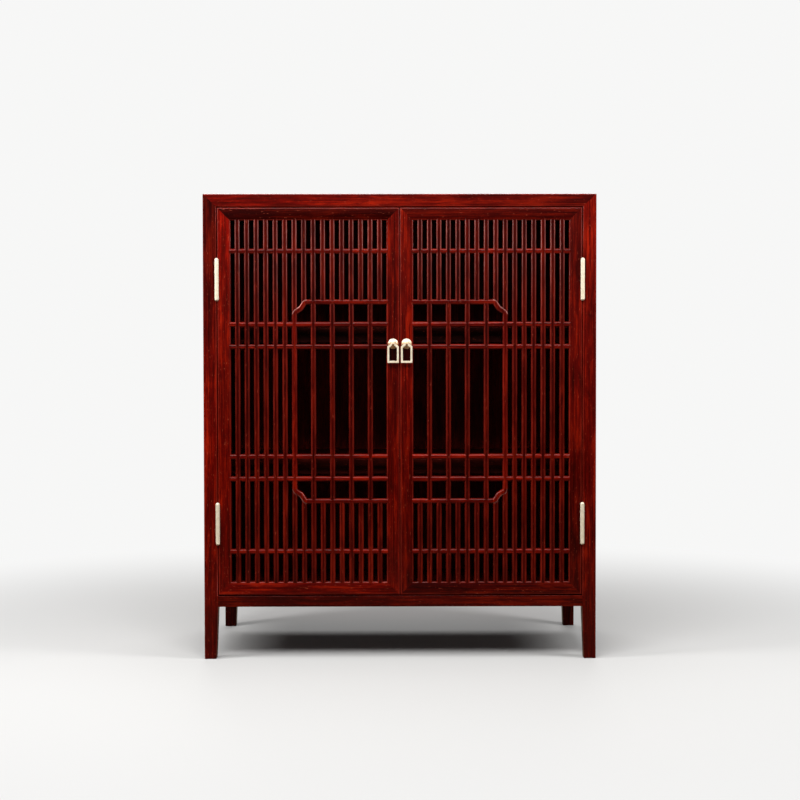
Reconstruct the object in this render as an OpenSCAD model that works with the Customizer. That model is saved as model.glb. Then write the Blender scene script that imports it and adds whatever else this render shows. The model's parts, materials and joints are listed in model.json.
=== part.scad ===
// Two-door lattice sideboard in lacquered hardwood.
// Millimetres, +Z up. The front faces -Y. The origin is the middle of the base of the bounding box.

/* [Case] */
// Width of the case
body_w = 800; // [720:1:960]
// Depth of the case, without hinges and pulls
body_d = 400; // [340:1:500]
// Height of the case, feet included
body_h = 948; // [900:1:1080]
// Width and depth of each corner post
post_w = 28; // [27:0.5:34]
// Height of the members of the top frame
top_rail_h = 26.5; // [25:0.5:34]
// Height of the members of the bottom frame
bottom_rail_h = 22; // [22:0.5:32]
// Height of the legs under the bottom frame
leg_h = 107; // [80:1:140]
// Width and depth of each leg at the floor
foot_w = 24; // [20:0.5:27]
// Radius that eases the outer edges of the case
case_ease = 2; // [1:0.5:3]
// Radius that eases the edges of the posts and the top members round the doors and panels
inner_ease = 2.5; // [1:0.5:3.5]

/* [Panels and shelves] */
// Thickness of the top panel and of the bottom panel
deck_t = 12; // [11:0.5:14]
// Thickness of the side, back and shelf panels
panel_t = 10; // [9:0.5:12]
// Depth of the side and back panels behind the faces of the posts
panel_recess = 3; // [1:0.5:4]
// Thickness of the tongue round each panel
tongue_t = 5; // [4:0.5:6]
// Length of the tongue round each panel
tongue_l = 7; // [5:0.5:8]
// Width of the battens under the panels
batten_w = 30; // [24:1:40]
// Height of the battens under the panels
batten_h = 9; // [8:0.5:10]
// Height of the dovetail that keys a batten into its panel
dovetail_h = 2.5; // [2:0.25:3]
// Distance of each deck batten from the middle of the case
batten_x = 185; // [120:1:240]
// Width of the upright member in the middle of the back
muntin_w = 32; // [26:1:44]
// Depth of the upright member in the middle of the back
muntin_d = 20; // [18:0.5:26]
// Height of the front edge of each shelf
shelf_h = 30; // [26:1:36]
// Width of the members of each shelf frame
shelf_rail_w = 28; // [24:1:40]
// Height of the underside of the lower shelf
lower_shelf_z = 377; // [300:1:420]
// Height of the underside of the upper shelf
upper_shelf_z = 647; // [600:1:720]
// Distance of the shelves behind the front of the case
shelf_setback = 31; // [30:1:50]
// Height of the bearers under the shelves
bearer_h = 20; // [16:1:28]
// Distance that the bearers stand out past the posts
bearer_lap = 12; // [8:1:20]

/* [Doors] */
// Thickness of the doors
door_t = 22; // [20:0.5:24]
// Width of the door stiles
stile_w = 26.5; // [24:0.5:32]
// Width of the door rails
door_rail_w = 26.5; // [24:0.5:32]
// Radius that eases the outer edges of the doors
door_ease = 2.4; // [1.5:0.1:3]
// Gap between a door and its post, which holds the hinge
hinge_gap = 1.2; // [1:0.1:2]
// Gap between the two doors
seam_gap = 1; // [0.8:0.1:2]
// Gap above the doors
head_gap = 1.2; // [1:0.1:2.5]
// Gap under the doors
sill_gap = 2.2; // [1:0.1:3]
// Amount planed off the back of the closing edges, so that the doors clear each other
back_bevel = 1.5; // [1:0.1:2.5]

/* [Lattice] */
// Number of upright bars across each door
bar_count = 16; // [16]
// Width of the lattice bars
bar_w = 10.4; // [9.5:0.1:11.5]
// Depth of the lattice bars
bar_d = 14; // [12:0.5:16]
// Chamfer along the front edges of the bars and of the door openings
bar_chamfer = 2.3; // [1:0.1:2.6]
// Height of the outermost cross bars above and below the middle of the door
outer_row = 306; // [270:1:320]
// Height of the window members above and below the middle of the door
window_row = 203; // [180:1:225]
// Spacing of the two cross bars inside each end of the window
row_step = 45.5; // [36:0.5:50]
// Upright bar at which the window begins, counted from the hinges
window_bar = 7; // [7]
// Length of the tenons of the bars in the door frame
bar_tenon_l = 8; // [5:0.5:10]
// Length of the tenons of the bars in the window members
stub_tenon_l = 3; // [2:0.5:3.5]
// Length of the stepped window corner along each member
corner_l = 24.8; // [24:0.2:26]
// Radius of the bends at the ends of the window corner
corner_r = 6; // [6:0.25:7]
// Angle through which each lobe of the window corner turns
corner_turn = 57; // [52:1:62]

/* [Hinges] */
// Length of the hinge barrels, without the domed ends
barrel_l = 79; // [70:1:86]
// Radius of the hinge barrels
barrel_r = 4.2; // [4:0.1:4.8]
// Radius of the hinge pins
hinge_pin_r = 2.2; // [1.8:0.1:2.5]
// Thickness of the hinge leaves
leaf_t = 1.2; // [1:0.1:1.5]
// Depth that the hinge leaves reach behind the front of the case
leaf_reach = 18; // [16:0.5:19]
// Distance of each hinge's middle from the end of the door
hinge_from_end = 146; // [110:1:180]
// Number of knuckles on each hinge
knuckles = 5; // [3:2:7]
// Radius of the screw shanks
screw_r = 1.5; // [1.2:0.1:1.8]
// Length of the hinge screws in the wood
screw_l = 12; // [8:0.5:14]
// Spacing of the three screws in each leaf
screw_step = 28; // [22:1:30]

/* [Pulls] */
// Height of the pull pivots above the middle of the doors
pull_z = 118; // [60:1:140]
// Radius of the domed rosettes
rosette_r = 10.5; // [9:0.25:11.5]
// Height of the domed rosettes
rosette_h = 5; // [4:0.25:6]
// Distance of the pull pivots in front of the doors
pull_out = 8.5; // [8:0.25:10]
// Radius of the eye that carries each ring
eye_r = 3.6; // [3.2:0.1:3.9]
// Thickness of the eye that carries each ring
eye_t = 3.2; // [2.6:0.1:3.6]
// Radius of the pin on which each ring swings
ring_pin_r = 1.25; // [1:0.05:1.5]
// Outer width of each ring
ring_w = 23.2; // [22:0.1:25]
// Distance from the pivot down to the foot of the ring
ring_drop = 39; // [36:0.5:46]
// Distance from the pivot down to the shoulders of the ring
ring_shoulder = 5.6; // [5:0.1:8]
// Width of the sides of the ring
ring_side = 3.8; // [3.4:0.1:5.6]
// Width of the foot of the ring
ring_foot = 4.2; // [3.6:0.1:7]
// Thickness of the ring
ring_t = 2.6; // [2:0.1:3]

/* [Fits] */
// Clearance round tenons and tongues
glue_gap = 0.1; // [0.05:0.05:0.2]
// Gap between a panel and the frame round it
panel_gap = 0.4; // [0.2:0.1:0.8]
// Radial clearance of the hinge pins and ring pins
pin_gap = 0.05; // [0.03:0.01:0.08]
// End clearance between knuckles
knuckle_gap = 0.2; // [0.1:0.05:0.4]
// Side clearance of a ring beside its eye
eye_gap = 0.3; // [0.2:0.05:0.4]

/* [Hidden] */
$fn = 48;

wood = [0.38, 0.06, 0.04];
panel_wood = [0.30, 0.05, 0.04];
white_metal = [0.88, 0.87, 0.80];
LEFT = -1;
RIGHT = 1;
FRONT = -1;
REAR = 1;

// Amount by which a cutter runs past the piece that it cuts
past = 1;

// The case stands centred on Y together with the pulls, which reach furthest forward.
half_w = body_w / 2;
reach = pull_out + eye_r;
front_y = -(body_d - reach) / 2;
rear_y = front_y + body_d;
middle_y = front_y + body_d / 2;
inner_w = body_w - 2 * post_w;
inner_d = body_d - 2 * post_w;
sill_z = leg_h + bottom_rail_h;
head_z = body_h - top_rail_h;
inner_h = head_z - sill_z;

// Tenons of the case frame
frame_tenon_l = 10;
frame_tenon_inset = 6;
frame_tenon_t = 10;
bottom_tenon_h = bottom_rail_h - frame_tenon_inset - tongue_l - 2 * panel_gap;
post_tenon_inset = 9;
post_tenon_w = 10;
post_tenon_h = 18;
batten_tenon_l = 9;
batten_tenon_w = 18;
batten_tenon_h = 6;
bearer_tenon_inset = 3;
bearer_tenon_w = 10;
bearer_tenon_h = 12;

// Doors, in their own frame: X from the hinge edge, Y back from the front face, Z from the middle
door_w = half_w - post_w - hinge_gap - seam_gap / 2;
door_h = inner_h - head_gap - sill_gap;
door_z = sill_z + sill_gap + door_h / 2;
half_h = door_h / 2;
open_w = door_w - 2 * stile_w;
open_half_h = half_h - door_rail_w;
bar_gap = (open_w - bar_count * bar_w) / (bar_count + 1);
lap = bar_d / 2;
rows = [window_row - row_step, window_row - 2 * row_step];
inner_rows = [rows[0], rows[1], -rows[1], -rows[0]];
all_rows = [outer_row, rows[0], rows[1], -rows[1], -rows[0], -outer_row];
inner_bars = [for (i = [window_bar + 2:2:bar_count - 1]) i];
cross_uprights = concat([for (i = [1:window_bar]) i], inner_bars);

// Tenons of the lattice bars and of the door frame
tenon_shoulder = 2;
bar_tenon_w = bar_w - 2 * tenon_shoulder;
bar_tenon_t = 5;
bar_tenon_y = (bar_d - bar_tenon_t) / 2;
corner_tenon_t = 7;
corner_tenon_inset = 6;

// Hinges, in their own frame: the pin is the Z axis and the door is on the +X side
barrel_clear = 0.3;
pivot_out = barrel_r + barrel_clear;
leaf_start = pivot_out + barrel_clear;
knuckle_l = barrel_l / knuckles;
screw_head_r = 2 * screw_r;
screw_y = pivot_out + (barrel_clear + leaf_reach) / 2;
hinge_rows = [half_h - hinge_from_end, hinge_from_end - half_h];
hinge_pilot_gap = 0.05;

// Pulls, in their own frame: the ring's pin lies along X through the origin
shank_r = 2;
shank_gap = 0.05;
clinch_w = 16;
clinch_h = 3;
clinch_t = 1.2;
eye_slot = eye_t / 2 + eye_gap;
gable_rise = 1.6;
gable_bar = 3.6;

function bar_x(i) = stile_w + i * bar_gap + (i - 0.5) * bar_w;

// Points of an arc about [cx, cy]
function arc(cx, cy, r, from, to, steps) =
  [for (i = [0:steps]) let (a = from + (to - from) * i / steps) [cx + r * cos(a), cy + r * sin(a)]];

// Placing

// Corner frame of the case: X and Y run inwards from the outer corner
module at_corner(side, end) {
  translate([0, middle_y, 0])
    mirror([side == RIGHT ? 1 : 0, 0, 0])
      mirror([0, end == REAR ? 1 : 0, 0])
        translate([-half_w, -body_d / 2, 0])
          children();
}

// Side frame of the case: X runs inwards from the outer face of the side, Y from the front
module at_side(side) {
  mirror([side == RIGHT ? 1 : 0, 0, 0])
    translate([-half_w, front_y, 0])
      children();
}

module at_door(side) {
  mirror([side == RIGHT ? 1 : 0, 0, 0])
    translate([-half_w + post_w + hinge_gap, front_y, door_z])
      children();
}

module at_hinges(side) {
  at_door(side)
    for (z = hinge_rows)
      translate([-hinge_gap / 2, -pivot_out, z])
        children();
}

module at_pull(side) {
  at_door(side)
    translate([door_w - stile_w / 2, -pull_out, pull_z])
      children();
}

// Extrudes an outline that is drawn in Y and Z along X
module along_x(length) {
  rotate([90, 0, 90])
    linear_extrude(length)
      children();
}

// Extrudes an outline that is drawn in X and Z along Y
module along_y(length) {
  translate([0, length, 0])
    rotate([90, 0, 0])
      linear_extrude(length)
        children();
}

// Framed panels

// A board with a tongue on each edge. It lies in XY from [0, 0], with its thickness up Z.
module panel_board(w, h, t) {
  edge = panel_gap;
  low = (t - tongue_t) / 2;
  translate([edge, edge, 0])
    cube([w - 2 * edge, h - 2 * edge, t]);
  translate([-tongue_l, edge, low])
    cube([w + 2 * tongue_l, h - 2 * edge, tongue_t]);
  translate([edge, -tongue_l, low])
    cube([w - 2 * edge, h + 2 * tongue_l, tongue_t]);
}

// The groove that takes the tongue of such a board. It runs on through the corners of the frame.
module panel_groove(w, h, t) {
  deep = tongue_l + panel_gap;
  translate([-deep, -deep, (t - tongue_t) / 2 - glue_gap])
    cube([w + 2 * deep, h + 2 * deep, tongue_t + 2 * glue_gap]);
}

// Section of a batten under a panel: X across, Z up to the underside of the panel at 0
module batten_section(extra) {
  polygon([
    [-batten_w / 2, -batten_h], [batten_w / 2, -batten_h], [batten_w / 2, 0],
    [batten_w / 4 + extra, 0], [batten_w / 4 + dovetail_h / 2 + extra, dovetail_h + extra],
    [-batten_w / 4 - dovetail_h / 2 - extra, dovetail_h + extra], [-batten_w / 4 - extra, 0],
    [-batten_w / 2, 0]
  ]);
}

// The dovetailed groove across a panel that takes a batten
module batten_groove(length) {
  along_y(length)
    batten_section(glue_gap);
}

// The tenons on both ends of a batten, in one piece with each other
module batten_tenons(length, grow) {
  translate([
    -batten_tenon_w / 2 - grow, -batten_tenon_l - grow,
    -(batten_h + batten_tenon_h) / 2 - grow
  ])
    cube([
      batten_tenon_w + 2 * grow, length + 2 * (batten_tenon_l + grow),
      batten_tenon_h + 2 * grow
    ]);
}

// A batten along Y from 0, with a tenon on each end
module batten(length) {
  along_y(length)
    batten_section(0);
  batten_tenons(length, 0);
}

module at_top_panel() {
  translate([-inner_w / 2, front_y + post_w, body_h - deck_t])
    children();
}

module at_bottom_panel() {
  translate([-inner_w / 2, front_y + post_w, sill_z - deck_t])
    children();
}

module at_side_panel(side) {
  at_side(side)
    translate([panel_recess, post_w, sill_z])
      rotate([90, 0, 90])
        children();
}

// The back panels lie between a rear post and the muntin
back_panel_w = (inner_w - muntin_w) / 2;

module at_back_panel(side) {
  mirror([side == RIGHT ? 1 : 0, 0, 0])
    translate([-inner_w / 2, rear_y - panel_recess, sill_z])
      rotate([90, 0, 0])
        children();
}

module deck_grooves() {
  at_top_panel()
    panel_groove(inner_w, inner_d, deck_t);
  at_bottom_panel()
    panel_groove(inner_w, inner_d, deck_t);
}

module wall_grooves() {
  for (side = [LEFT, RIGHT]) {
    at_side_panel(side)
      panel_groove(inner_d, inner_h, panel_t);
    at_back_panel(side)
      panel_groove(back_panel_w, inner_h, panel_t);
  }
}

// Both battens of a deck lie along Y from here
module at_battens(z) {
  for (x = [-batten_x, batten_x])
    translate([x, front_y + post_w, z])
      children();
}

// Posts

// The square tenon on top of a post, in the corner frame
module post_tenon(grow) {
  translate([post_tenon_inset - grow, post_tenon_inset - grow, body_h - top_rail_h - past])
    cube([
      post_tenon_w + 2 * grow, post_tenon_w + 2 * grow,
      post_tenon_h + past + grow
    ]);
}

// Takes away all that lies above the mitre plane that rises from the inside edge to the outer edge
module mitre_waste() {
  rise = top_rail_h / post_w;
  translate([0, -past, 0])
    along_y(post_w + 2 * past)
      polygon([
        [-past, body_h + past * rise],
        [post_w + past, body_h - (post_w + past) * rise],
        [post_w + past, body_h + past * rise]
      ]);
}

// Wedge that tapers the inner face of a leg
module taper_waste() {
  translate([0, -past, 0])
    along_y(post_w + 2 * past)
      polygon([[post_w, leg_h], [post_w + past, leg_h], [post_w + past, -past], [foot_w, -past], [foot_w, 0]]);
}

// Swaps X and Y in the corner frame
module swapped() {
  mirror([1, -1, 0])
    children();
}

// Section of a post, with its outer edges eased
module post_section() {
  polygon(concat(
    arc(case_ease, case_ease, case_ease, 180, 270, 3),
    [[post_w, 0], [post_w, post_w], [0, post_w]]
  ));
}

// Rounds off the front inner edge of a post, from the bottom frame up
module arris_waste() {
  translate([0, 0, sill_z])
    linear_extrude(body_h)
      polygon(concat(
        [[post_w + past, -past], [post_w - inner_ease, -past]],
        arc(post_w - inner_ease, inner_ease, inner_ease, 270, 360, 3),
        [[post_w + past, inner_ease]]
      ));
}

// Tenons of the bottom frame, in the corner frame, running in from the inner face
module bottom_tenon(grow) {
  translate([
    post_w - frame_tenon_l - grow, frame_tenon_inset - grow,
    leg_h + frame_tenon_inset - grow
  ])
    cube([
      frame_tenon_l + grow + past, frame_tenon_t + 2 * grow,
      bottom_tenon_h + 2 * grow
    ]);
}

module corner_post(side, end) {
  color(wood)
    difference() {
      at_corner(side, end) {
        difference() {
          linear_extrude(body_h)
            post_section();
          mitre_waste();
          swapped()
            mitre_waste();
          taper_waste();
          swapped()
            taper_waste();
          arris_waste();
          swapped()
            arris_waste();
          bottom_tenon(glue_gap);
          swapped()
            bottom_tenon(glue_gap);
        }
        post_tenon(0);
      }
      wall_grooves();
      at_bearers(side)
        bearer_tenons(glue_gap);
      if (end == FRONT) {
        at_hinges(side)
          mirror([1, 0, 0])
            leaf_pocket();
      }
    }
}

// Top frame

// Section of a top member: Y inwards from the outer face, Z up. Its lower edge meets that of the posts.
module top_section() {
  rise = top_rail_h / post_w;
  polygon(concat(
    [[post_w, body_h], [post_w, head_z]],
    [for (p = arc(inner_ease, inner_ease, inner_ease, 270, 180, 3)) [p[0], head_z + p[1] * rise]],
    arc(case_ease, body_h - case_ease, case_ease, 180, 90, 3)
  ));
}

// A member of the top frame, along X from 0, with three-way mitres at both ends
module top_member(length) {
  rise = top_rail_h / post_w;
  intersection() {
    along_x(length)
      top_section();
    translate([0, 0, head_z - past])
      linear_extrude(top_rail_h + 2 * past)
        polygon(concat(
          arc(case_ease, case_ease, case_ease, 225, 270, 2),
          arc(length - case_ease, case_ease, case_ease, 270, 315, 2),
          [[length - post_w - past, post_w + past], [post_w + past, post_w + past]]
        ));
    translate([0, -past, 0])
      along_y(post_w + 2 * past)
        polygon([
          [-past, body_h + past * rise], [length + past, body_h + past * rise],
          [length - post_w - past, head_z - past * rise], [post_w + past, head_z - past * rise]
        ]);
  }
}

module top_cuts() {
  deck_grooves();
  wall_grooves();
  for (side = [LEFT, RIGHT])
    for (end = [FRONT, REAR])
      at_corner(side, end)
        post_tenon(glue_gap);
  at_battens(body_h - deck_t)
    batten_tenons(inner_d, glue_gap);
  muntin_tenons(glue_gap);
}

module top_cross_member(end) {
  color(wood)
    difference() {
      translate([0, middle_y, 0])
        mirror([0, end == REAR ? 1 : 0, 0])
          translate([-half_w, -body_d / 2, 0])
            top_member(body_w);
      top_cuts();
    }
}

module top_side_member(side) {
  color(wood)
    difference() {
      mirror([side == RIGHT ? 1 : 0, 0, 0])
        translate([-half_w, front_y, 0])
          mirror([1, -1, 0])
            top_member(body_d);
      top_cuts();
    }
}

// Bottom frame

module bottom_cross_member(end) {
  color(wood)
    difference() {
      translate([0, middle_y, 0])
        mirror([0, end == REAR ? 1 : 0, 0])
          translate([-inner_w / 2, -body_d / 2, leg_h])
            cube([inner_w, post_w, bottom_rail_h]);
      bottom_cuts();
    }
  color(wood)
    for (side = [LEFT, RIGHT])
      at_corner(side, end)
        bottom_tenon(0);
}

module bottom_side_member(side) {
  color(wood)
    difference() {
      at_side(side)
        translate([0, post_w, leg_h])
          cube([post_w, inner_d, bottom_rail_h]);
      bottom_cuts();
    }
  color(wood)
    for (end = [FRONT, REAR])
      at_corner(side, end)
        swapped()
          bottom_tenon(0);
}

module bottom_cuts() {
  deck_grooves();
  wall_grooves();
  at_battens(sill_z - deck_t)
    batten_tenons(inner_d, glue_gap);
  muntin_tenons(glue_gap);
}

// Decks

module deck_panel(z) {
  color(panel_wood)
    difference() {
      translate([-inner_w / 2, front_y + post_w, z])
        panel_board(inner_w, inner_d, deck_t);
      at_battens(z)
        batten_groove(inner_d);
    }
}

module deck_battens(z) {
  color(wood)
    at_battens(z)
      batten(inner_d);
}

// Sides and back

module side_panel(side) {
  color(panel_wood)
    at_side_panel(side)
      panel_board(inner_d, inner_h, panel_t);
}

module back_panel(side) {
  color(panel_wood)
    at_back_panel(side)
      panel_board(back_panel_w, inner_h, panel_t);
}

module muntin_tenons(grow) {
  for (z = [sill_z - frame_tenon_l, head_z - past])
    translate([-muntin_w / 4 - grow, rear_y - muntin_d + frame_tenon_inset - grow, z - grow])
      cube([
        muntin_w / 2 + 2 * grow, muntin_d - 2 * frame_tenon_inset + 2 * grow,
        frame_tenon_l + past + 2 * grow
      ]);
}

module back_muntin() {
  color(wood) {
    difference() {
      translate([-muntin_w / 2, rear_y - muntin_d, sill_z])
        cube([muntin_w, muntin_d, inner_h]);
      wall_grooves();
    }
    muntin_tenons(0);
  }
}

// Shelves

bearer_w = post_w - panel_recess - panel_t + bearer_lap;

// Bearer frame: X inwards from the inner face of the side panel, Y from the front posts
module at_bearers(side) {
  at_side(side)
    for (z = [lower_shelf_z, upper_shelf_z])
      translate([panel_recess + panel_t, post_w, z - bearer_h])
        children();
}

module bearer_tenons(grow) {
  translate([
    bearer_tenon_inset - grow, -frame_tenon_l - grow,
    (bearer_h - bearer_tenon_h) / 2 - grow
  ])
    cube([
      bearer_tenon_w + 2 * grow, inner_d + 2 * (frame_tenon_l + grow),
      bearer_tenon_h + 2 * grow
    ]);
}

module shelf_bearers(side) {
  color(wood)
    at_bearers(side) {
      cube([bearer_w, inner_d, bearer_h]);
      bearer_tenons(0);
    }
}

shelf_gap = 1;
shelf_w = inner_w - 2 * shelf_gap;
shelf_d = body_d - post_w - shelf_setback;
shelf_open_w = shelf_w - 2 * shelf_rail_w;
shelf_open_d = shelf_d - 2 * shelf_rail_w;

// Shelf frame: X and Y from the front left corner of the shelf
module at_shelf(z) {
  translate([-shelf_w / 2, front_y + shelf_setback, z])
    children();
}

module shelf_cuts() {
  translate([shelf_rail_w, shelf_rail_w, shelf_h - panel_t])
    panel_groove(shelf_open_w, shelf_open_d, panel_t);
  translate([shelf_w / 2, shelf_rail_w, shelf_h - panel_t])
    batten_tenons(shelf_open_d, glue_gap);
}

// A mitred member of a shelf frame, along X from 0
module shelf_member(length) {
  linear_extrude(shelf_h)
    polygon([[0, 0], [length, 0], [length - shelf_rail_w, shelf_rail_w], [shelf_rail_w, shelf_rail_w]]);
}

module shelf_rails(z) {
  color(wood)
    at_shelf(z)
      difference() {
        union() {
          shelf_member(shelf_w);
          translate([0, shelf_d, 0])
            mirror([0, 1, 0])
              shelf_member(shelf_w);
        }
        shelf_cuts();
      }
}

module shelf_cross_rails(z) {
  color(wood)
    at_shelf(z) {
      difference() {
        union() {
          mirror([1, -1, 0])
            shelf_member(shelf_d);
          translate([shelf_w, 0, 0])
            mirror([1, 0, 0])
              mirror([1, -1, 0])
                shelf_member(shelf_d);
        }
        shelf_cuts();
      }
      translate([shelf_w / 2, shelf_rail_w, shelf_h - panel_t])
        batten(shelf_open_d);
    }
}

module shelf_panel(z) {
  color(panel_wood)
    at_shelf(z)
      difference() {
        translate([shelf_rail_w, shelf_rail_w, shelf_h - panel_t])
          panel_board(shelf_open_w, shelf_open_d, panel_t);
        translate([shelf_w / 2, shelf_rail_w, shelf_h - panel_t])
          batten_groove(shelf_open_d);
      }
}

// Lattice bars

// Section of a bar: X across, Y back from the front face
bar_section = [
  [-bar_w / 2, bar_chamfer], [-bar_w / 2 + bar_chamfer, 0], [bar_w / 2 - bar_chamfer, 0],
  [bar_w / 2, bar_chamfer], [bar_w / 2, bar_d], [-bar_w / 2, bar_d]
];

// The front half of the same section, which the cross bars are notched round
module lap_section() {
  w = bar_w / 2;
  c = bar_chamfer;
  polygon([[-w, c], [-w + c, 0], [-w + c, -past], [w - c, -past], [w - c, 0], [w, c], [w, lap], [-w, lap]]);
}

// The end of a bar in Y and Z. With a lip, its shoulder rides over the chamfer of what it meets.
function end_points(z, out, lip) = lip > 0 ? [[-past, z + out * (lip + past)], [lip, z]] : [[-past, z]];

// A bar along Z from 0, with a lip and a tenon at each end as asked
module bar(length, lip_a, lip_b, tenon_a, tenon_b) {
  intersection() {
    translate([0, 0, -lip_a - past])
      linear_extrude(length + lip_a + lip_b + 2 * past)
        polygon(bar_section);
    translate([-bar_w, 0, 0])
      along_x(2 * bar_w)
        polygon(concat(
          end_points(0, -1, lip_a),
          [[bar_d + past, 0], [bar_d + past, length]],
          reversed(end_points(length, 1, lip_b))
        ));
  }
  translate([-bar_tenon_w / 2, bar_tenon_y, -tenon_a])
    cube([bar_tenon_w, bar_tenon_t, length + tenon_a + tenon_b]);
}

function reversed(list) = [for (i = [len(list) - 1:-1:0]) list[i]];

// The mortise for a bar's tenon, up Z from 0
module bar_mortise(length) {
  translate([-bar_tenon_w / 2 - glue_gap, bar_tenon_y - glue_gap, -past])
    cube([bar_tenon_w + 2 * glue_gap, bar_tenon_t + 2 * glue_gap, length + glue_gap + past]);
}

// An upright bar between two heights, notched at the back for the cross bars
module upright(x, low, high, lip_a, lip_b, tenon_a, tenon_b, at_rows) {
  difference() {
    translate([x, 0, low])
      bar(high - low, lip_a, lip_b, tenon_a, tenon_b);
    for (z = at_rows)
      translate([x - bar_w, lap, z - bar_w / 2])
        cube([2 * bar_w, bar_d, bar_w]);
  }
}

// A level bar between two places on X, notched at the front for the uprights
module level_bar(z, from, to, lip_a, tenon_a, at_uprights) {
  difference() {
    translate([from, 0, z])
      rotate([0, 90, 0])
        bar(to - from, lip_a, bar_chamfer, tenon_a, bar_tenon_l);
    for (i = at_uprights)
      translate([bar_x(i), 0, z - bar_w])
        linear_extrude(2 * bar_w)
          lap_section();
  }
}

module long_bars(side) {
  color(wood)
    at_door(side)
      for (i = [1:window_bar - 1])
        upright(
          bar_x(i), -open_half_h, open_half_h, bar_chamfer, bar_chamfer,
          bar_tenon_l, bar_tenon_l, all_rows
        );
}

// The short bars above the window. The two over the corner are scribed to it.
module upper_short_bars() {
  foot = window_row + bar_w / 2;
  for (i = [window_bar + 2:bar_count])
    upright(
      bar_x(i), foot, open_half_h, bar_chamfer, bar_chamfer,
      stub_tenon_l, bar_tenon_l, [outer_row]
    );
  difference() {
    union() {
      upright(
        bar_x(window_bar), window_row - corner_l + corner_r, open_half_h, 0, bar_chamfer,
        0, bar_tenon_l, [outer_row]
      );
      upright(
        bar_x(window_bar + 1), window_row - bar_w / 3, open_half_h, 0, bar_chamfer,
        0, bar_tenon_l, [outer_row]
      );
    }
    corner_scribe();
  }
}

module short_bars(side) {
  color(wood)
    at_door(side) {
      upper_short_bars();
      mirror([0, 0, 1])
        upper_short_bars();
    }
}

module window_bars(side) {
  edge = window_row - bar_w / 2;
  color(wood)
    at_door(side)
      for (i = inner_bars)
        upright(
          bar_x(i), -edge, edge, bar_chamfer, bar_chamfer,
          stub_tenon_l, stub_tenon_l, inner_rows
        );
}

module cross_bars(side) {
  color(wood)
    at_door(side) {
      for (z = [-outer_row, outer_row])
        level_bar(z, stile_w, door_w - stile_w, bar_chamfer, bar_tenon_l, [1:bar_count]);
      for (z = inner_rows)
        level_bar(z, stile_w, door_w - stile_w, bar_chamfer, bar_tenon_l, cross_uprights);
    }
}

// Window

// The stepped corner is swept along a path that starts at [corner_l, 0] from the crossing of the
// two centre lines, bends into a straight lobe, steps back on the diagonal and mirrors itself.
lobe_l = (corner_l - corner_r * sin(corner_turn) - corner_r * (1 - cos(corner_turn)))
  / (sin(corner_turn) + cos(corner_turn));
bend_steps = 4;
bend_points = [
  for (i = [0:bend_steps])
    let (a = corner_turn * i / bend_steps)
      [corner_l - corner_r * sin(a), corner_r * (1 - cos(a)), a, 1]
];
step_at = corner_r * (1 - cos(corner_turn)) + lobe_l * sin(corner_turn);
step_point = [step_at, step_at, 45, 1 / cos(corner_turn - 45)];
corner_path = concat(
  bend_points, [step_point],
  [for (i = [bend_steps:-1:0]) let (p = bend_points[i]) [p[1], p[0], 90 - p[2], 1]]
);

// A point of the section on a station of the path
function corner_point(p, s) = [
  bar_x(window_bar) + p[0] - s[0] * p[3] * sin(p[2]),
  s[1],
  window_row - p[1] + s[0] * p[3] * cos(p[2])
];

module window_corner() {
  n = len(bar_section);
  last = len(corner_path) - 1;
  polyhedron(
    points = [for (p = corner_path) for (s = bar_section) corner_point(p, s)],
    faces = concat(
      [[for (j = [n - 1:-1:0]) j]],
      [for (i = [0:last - 1]) for (j = [0:n - 1])
        [i * n + j, i * n + (j + 1) % n, (i + 1) * n + (j + 1) % n, (i + 1) * n + j]],
      [[for (j = [0:n - 1]) last * n + j]]
    ),
    convexity = 6
  );
}

// The same corner seen from the front, run right through, to scribe the bars that end on it
module corner_scribe() {
  edges = [for (e = [-1, 1]) [for (p = corner_path) corner_point(p, [e * bar_w / 2, 0])]];
  translate([0, -past, 0])
    along_y(bar_d + 2 * past)
      polygon([for (p = concat(edges[0], reversed(edges[1]))) [p[0], p[2]]]);
}

module window_corners(side) {
  color(wood)
    at_door(side) {
      window_corner();
      mirror([0, 0, 1])
        window_corner();
    }
}

module window_rail_mortises() {
  edge = window_row + bar_w / 2;
  for (i = [window_bar + 2:bar_count])
    translate([bar_x(i), 0, edge])
      mirror([0, 0, 1])
        bar_mortise(stub_tenon_l);
  for (i = inner_bars)
    translate([bar_x(i), 0, edge - bar_w])
      bar_mortise(stub_tenon_l);
}

module window_rail() {
  difference() {
    level_bar(window_row, bar_x(window_bar) + corner_l, door_w - stile_w, 0, 0, []);
    window_rail_mortises();
  }
}

module window_frame(side) {
  color(wood)
    at_door(side) {
      window_rail();
      mirror([0, 0, 1])
        window_rail();
      upright(
        bar_x(window_bar), corner_l - window_row, window_row - corner_l, 0, 0,
        0, 0, inner_rows
      );
    }
}

// Door frame

// Mortises in the rails for the uprights, and in the stiles for the level bars
module upright_mortises() {
  for (i = [1:bar_count])
    translate([bar_x(i), 0, open_half_h])
      bar_mortise(bar_tenon_l);
}

module row_mortises(at_rows) {
  for (z = at_rows)
    translate([stile_w, 0, z])
      rotate([0, -90, 0])
        bar_mortise(bar_tenon_l);
}

// The tenon in the mitre at the upper hinge corner of a door
module corner_tenon(grow) {
  translate([
    corner_tenon_inset - grow, (door_t - corner_tenon_t) / 2 - grow,
    open_half_h + corner_tenon_inset - grow
  ])
    cube([
      stile_w - corner_tenon_inset + grow, corner_tenon_t + 2 * grow,
      door_rail_w - 2 * corner_tenon_inset - door_ease + 2 * grow
    ]);
}

// Section across a stile or rail: A from the outer edge in, B back from the front face
function frame_outline(width, bevel) = concat(
  arc(door_ease, door_ease, door_ease, 180, 270, 3),
  [[width - bar_chamfer, 0], [width, bar_chamfer], [width, door_t], [bevel, door_t]]
);

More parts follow.
